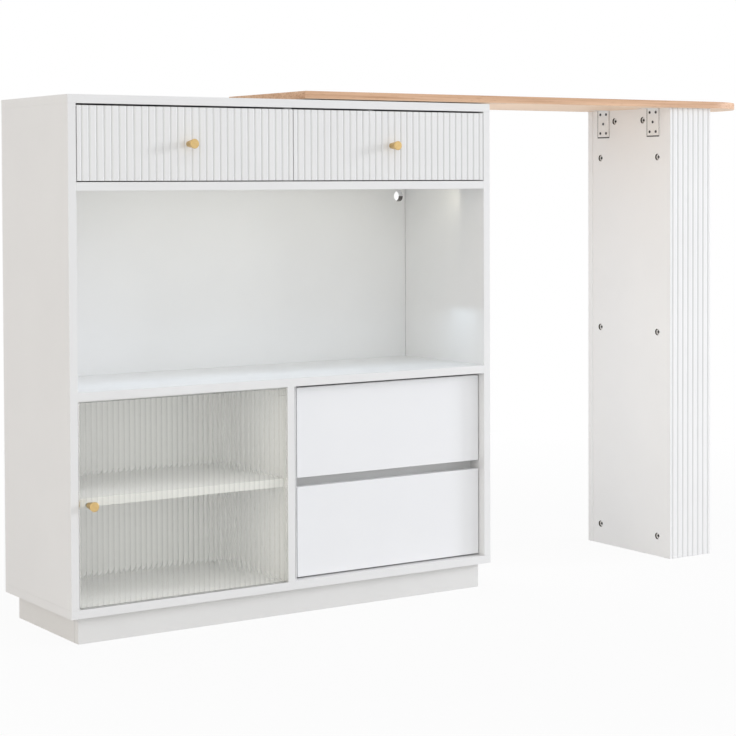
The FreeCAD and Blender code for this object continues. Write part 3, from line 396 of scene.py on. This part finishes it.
def finishes():
    """The material of each slot of the record, of its bored boards and of the pieces with their own."""
    return {
        "white_board": white_foil("white_satin_foil"),
        "white_board_X": white_foil("white_bored_across", "X"),
        "white_board_Y": white_foil("white_bored_through", "Y", CABLE_HOLE_MIDDLE),
        "white_board_Z": white_foil("white_bored_down", "Z"),
        # The white foil made paler for the lower drawer fronts: painted light
        "painted_light_front": painted_board("white_foil_painted_light", (0.905, 0.91, 0.92), (0.89, 0.895, 0.905), 0.36),
        "fluted_drawer": fluted_foil("white_fluted_drawer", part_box("upper_left_drawer_front")[0].y, 1),
        "fluted_leg_front": fluted_foil("white_fluted_front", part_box("leg_front_panel")[0].y, 1),
        "fluted_leg_back": fluted_foil("white_fluted_back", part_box("leg_back_panel")[1].y, -1),
        # The white foil made darker for the plinth boards: painted shade under the bottom board
        "plinth": painted_board("white_plinth_painted_shade", (0.825, 0.82, 0.805), (0.805, 0.80, 0.785), 0.4),
        "drawer_board": painted_board("white_matt_foil", (0.83, 0.83, 0.82), (0.80, 0.80, 0.79), 0.55),
        "drawer_base": painted_board("white_hardboard", (0.80, 0.80, 0.785), (0.77, 0.77, 0.755), 0.6),
        "oak_board": oak_board(),
        "brushed_brass": metal("satin_brass", (0.70, 0.505, 0.235), (0.645, 0.45, 0.19), 0.38, 220,
                               (2500, 2500, 300)),
        "zinc_steel": metal("bright_zinc", (0.76, 0.765, 0.77), (0.66, 0.665, 0.67), 0.32, 320,
                            (200, 1600, 1600)),
        "cams": cam_enamel(),
        # Near-black sheet: painted shadow of the bracket plates on the leg
        "pad": moulded_plastic("dark_pad", (0.035, 0.033, 0.03), (0.02, 0.019, 0.018), 0.7),
        "black_steel": metal("black_oxide", (0.09, 0.09, 0.095), (0.05, 0.05, 0.052), 0.42, 500,
                             (900, 900, 900)),
        "clear_plastic": see_through("clear_plastic", (0.98, 0.98, 0.975), (0.965, 0.965, 0.96), 0.05, 1.03),
        "white_steel": painted_board("white_enamel", (0.84, 0.83, 0.815), (0.81, 0.80, 0.785), 0.4),
        "white_plastic": moulded_plastic("white_moulding", (0.83, 0.83, 0.82), (0.79, 0.79, 0.78), 0.5),
        "reeded_glass": reeded_glass(),
    }


def round_edges(piece, width):
    """Welds the split corners, makes each flat whole, and rounds and shades the edges."""
    weld = piece.modifiers.new("weld", "WELD")
    weld.merge_threshold = WELD_REACH
    merge = piece.modifiers.new("whole_flats", "DECIMATE")
    merge.decimate_type = "DISSOLVE"
    merge.angle_limit = FLAT_ANGLE
    shading = piece.modifiers.new("smooth_curves", "NODES")
    shading.node_group = smooth_curves
    bevel = piece.modifiers.new("rounded_edges", "BEVEL")
    bevel.width = width
    bevel.segments = ROUNDING_STEPS
    bevel.limit_method = "ANGLE"
    bevel.angle_limit = ROUNDING_ANGLE
    bevel.use_clamp_overlap = True
    bevel.harden_normals = True


def make_smooth_curves():
    """Shades curved faces smoothly and keeps the edges between flats sharp."""
    group = bpy.data.node_groups.new("smooth_curves", "GeometryNodeTree")
    group.interface.new_socket("Geometry", in_out="INPUT", socket_type="NodeSocketGeometry")
    group.interface.new_socket("Geometry", in_out="OUTPUT", socket_type="NodeSocketGeometry")
    kinds = ("NodeGroupInput", "GeometryNodeRemoveAttribute", "GeometryNodeSetShadeSmooth",
             "GeometryNodeSetShadeSmooth", "NodeGroupOutput")
    chain = [group.nodes.new(kind) for kind in kinds]
    for before, after in zip(chain, chain[1:]):
        group.links.new(before.outputs[0], after.inputs[0])
    _, plain, smooth, sharp, _ = chain
    plain.inputs["Name"].default_value = "custom_normal"
    smooth.domain = "FACE"
    sharp.domain = "EDGE"
    sharp.inputs["Shade Smooth"].default_value = False
    steep = group.nodes.new("FunctionNodeCompare")
    steep.inputs["B"].default_value = SHARP_ANGLE
    angle = group.nodes.new("GeometryNodeInputMeshEdgeAngle")
    group.links.new(angle.outputs["Unsigned Angle"], steep.inputs["A"])
    group.links.new(steep.outputs["Result"], sharp.inputs["Selection"])
    return group


def dress_nodes(materials):
    """Gives every solid of the frame its finish and its edges."""
    for name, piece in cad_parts.items():
        slot = piece.material_slots[0].material.name
        finish = materials[slot]
        if name in BORED_BOARDS:
            finish = materials[slot + "_" + BORED_BOARDS[name]]
        elif name in OWN_FINISH:
            finish = materials[OWN_FINISH[name]]
        piece.material_slots[0].material = finish
        if slot in ("white_board", "oak_board", "drawer_board", "drawer_base"):
            round_edges(piece, BOARD_ROUNDING)
        elif slot != "reeded_glass":
            round_edges(piece, METAL_ROUNDING)


def new_piece(name, points, faces, material, body):
    """A mesh piece that rides on a body."""
    mesh = bpy.data.meshes.new(name)
    mesh.from_pydata(points, [], faces)
    mesh.materials.append(material)
    piece = bpy.data.objects.new(name, mesh)
    bpy.context.scene.collection.objects.link(piece)
    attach(piece, body)
    return piece


def reed_count():
    """How many whole reeds fit across the pane."""
    low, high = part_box("reeded_glass_pane")
    return int((high.x - low.x) / REED_PITCH)


def reed_margin():
    """Flat strip left at each side of the reeds."""
    low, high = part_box("reeded_glass_pane")
    return (high.x - low.x - reed_count() * REED_PITCH) / 2


def reeded_outline(low, high):
    """The back of the pane, seen from above: a row of hollow reeds."""
    margin = reed_margin()
    radius = (REED_PITCH**2 / 4 + REED_DEPTH**2) / (2 * REED_DEPTH)
    back = [(low.x, high.y)]
    for step in range(reed_count() * REED_STEPS + 1):
        share = step % REED_STEPS / REED_STEPS
        hollow = math.sqrt(radius**2 - (REED_PITCH * (share - 0.5)) ** 2) - (radius - REED_DEPTH)
        back.append((low.x + margin + step * REED_PITCH / REED_STEPS, high.y - hollow))
    back.append((high.x, high.y))
    return back


def make_pane(materials):
    """Glass pane with smooth upright reeds, in the place of the solid one."""
    low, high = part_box("reeded_glass_pane")
    back = reeded_outline(low, high)
    columns = len(back)
    points = []
    for z in (low.z, high.z):
        points += [(x, low.y, z) for x, _ in back]
        points += [(x, y, z) for x, y in back]
    faces = []
    ring = 2 * columns
    for i in range(columns - 1):
        j = columns + i
        faces.append((i, i + 1, ring + i + 1, ring + i))
        faces.append((j + 1, j, ring + j, ring + j + 1))
        faces.append((i + 1, i, j, j + 1))
        faces.append((ring + i, ring + i + 1, ring + j + 1, ring + j))
    for i, j in ((columns, 0), (columns - 1, ring - 1)):
        faces.append((i, j, ring + j, ring + i))
    pane = new_piece("reeded_pane", points, faces, materials["reeded_glass"], "glass_door")
    pane.data.shade_smooth()
    pane.data.set_sharp_from_angle(angle=REED_SHARP_ANGLE)
    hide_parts("reeded_glass_pane")


def make_bracket_pads(materials):
    """Thin dark sheets behind the bracket plates, a little larger: painted shadow beside and below the
    plates.
    """
    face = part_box("leg_inner_panel")[0].x
    low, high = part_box("leg_brackets")
    plates = ((low.y, low.y + PLATE_WIDTH), (high.y - PLATE_WIDTH, high.y))
    for index, (start, end) in enumerate(plates):
        corner = Vector((face - SHADOW_SHEET_THICKNESS, start, low.z - SHADOW_SHEET_BELOW))
        size = Vector((SHADOW_SHEET_THICKNESS, end + SHADOW_SHEET_BESIDE - start, high.z - corner.z))
        points = [corner + Vector((size.x * x, size.y * y, size.z * z))
                  for x in (0, 1) for y in (0, 1) for z in (0, 1)]
        faces = [(0, 1, 3, 2), (4, 6, 7, 5), (0, 4, 5, 1), (2, 3, 7, 6), (0, 2, 6, 4), (1, 5, 7, 3)]
        pad = new_piece(f"bracket_pad_{index}", points, faces, materials["pad"], "cabinet")


def floor_material():
    """Pale floor that keeps the shadow near the object and turns to plain white away from it."""
    material, tree, shader = new_material("studio_floor")
    shader.inputs["Roughness"].default_value = 0.9
    shader.inputs["Base Color"].default_value = FLOOR_COLOUR
    place = put(tree, "TexCoord").outputs["Object"]
    distance = put(tree, "VectorMath", {"operation": "LENGTH"}, Vector=place).outputs["Value"]
    white = spread(tree, distance, FLOOR_WHITE_NEAR, 1.0, *FLOOR_FADE)
    share = computed(tree, "MULTIPLY", white, seen_directly(tree))
    glow = put(tree, "Emission", Color=(1, 1, 1, 1), Strength=1.0)
    blend_shaders(tree, share, shader.outputs["BSDF"], glow.outputs["Emission"])
    return material


def seen_directly(tree):
    """1 for what the camera sees straight, in a mirror or through glass, and 0 for light."""
    path = put(tree, "LightPath").outputs
    total = path["Is Camera Ray"]
    for name in ("Is Glossy Ray", "Is Transmission Ray"):
        total = computed(tree, "MAXIMUM", total, path[name])
    return total


def make_floor():
    """Flat floor under the object."""
    half = FLOOR_SIZE / 2
    mesh = bpy.data.meshes.new("floor")
    corners = [(-half, -half, 0), (half, -half, 0), (half, half, 0), (-half, half, 0)]
    mesh.from_pydata(corners, [], [(0, 1, 2, 3)])
    mesh.materials.append(floor_material())
    floor = bpy.data.objects.new("floor", mesh)
    bpy.context.scene.collection.objects.link(floor)


def make_world():
    """White to the eye, and soft light on the object, strongest from the front."""
    world = bpy.data.worlds.new("studio")
    world.use_nodes = True
    bpy.context.scene.world = world
    tree = world.node_tree
    light = tree.nodes["Background"]
    light.inputs["Color"].default_value = WORLD_COLOUR
    behind = place_along(tree, "Y", "Generated")
    level = spread(tree, behind, WORLD_LIGHT, WORLD_LIGHT * WORLD_LIGHT_BEHIND, *WORLD_LIGHT_FADE)
    plug(tree, light.inputs["Strength"], level)
    white = put(tree, "Background", Color=(1, 1, 1, 1), Strength=1.0)
    blend_shaders(tree, seen_directly(tree), light.outputs["Background"], white.outputs["Background"],
                  "World Output")


def area_light(name, place, target, size, power, colour):
    """A soft lamp, wide and tall, that faces a target and stays out of sight."""
    lamp = bpy.data.lights.new(name, "AREA")
    lamp.shape = "RECTANGLE"
    lamp.size, lamp.size_y = size
    lamp.energy = power
    lamp.color = colour
    holder = bpy.data.objects.new(name, lamp)
    holder.location = place
    holder.rotation_euler = (Vector(target) - Vector(place)).to_track_quat("-Z", "Y").to_euler()
    holder.visible_camera = False
    bpy.context.scene.collection.objects.link(holder)


def make_lights():
    """A key from the right, broad fills around the object and soft cards close to it."""
    for lamp in LAMPS:
        area_light(*lamp)


def make_camera():
    """Camera at the photograph's place."""
    forward = Vector((math.sin(CAMERA_YAW) * math.cos(CAMERA_PITCH),
                      math.cos(CAMERA_YAW) * math.cos(CAMERA_PITCH), math.sin(CAMERA_PITCH)))
    level_right = Vector((math.cos(CAMERA_YAW), -math.sin(CAMERA_YAW), 0))
    level_up = level_right.cross(forward)
    right = level_right * math.cos(CAMERA_ROLL) + level_up * math.sin(CAMERA_ROLL)
    up = level_up * math.cos(CAMERA_ROLL) - level_right * math.sin(CAMERA_ROLL)
    lens = bpy.data.cameras.new("camera")
    lens.sensor_fit = "HORIZONTAL"
    lens.sensor_width = CAMERA_SENSOR
    lens.lens = CAMERA_LENS
    lens.shift_y = CAMERA_SHIFT
    camera = bpy.data.objects.new("camera", lens)
    turn = Matrix((right, up, -forward)).transposed().to_4x4()
    camera.matrix_world = Matrix.Translation(CAMERA_PLACE) @ turn
    bpy.context.scene.collection.objects.link(camera)
    bpy.context.scene.camera = camera


materials = finishes()
smooth_curves = make_smooth_curves()
dress_nodes(materials)
make_pane(materials)
make_bracket_pads(materials)
make_floor()
make_world()
make_lights()
make_camera()
bpy.context.scene.view_settings.view_transform = "Standard"
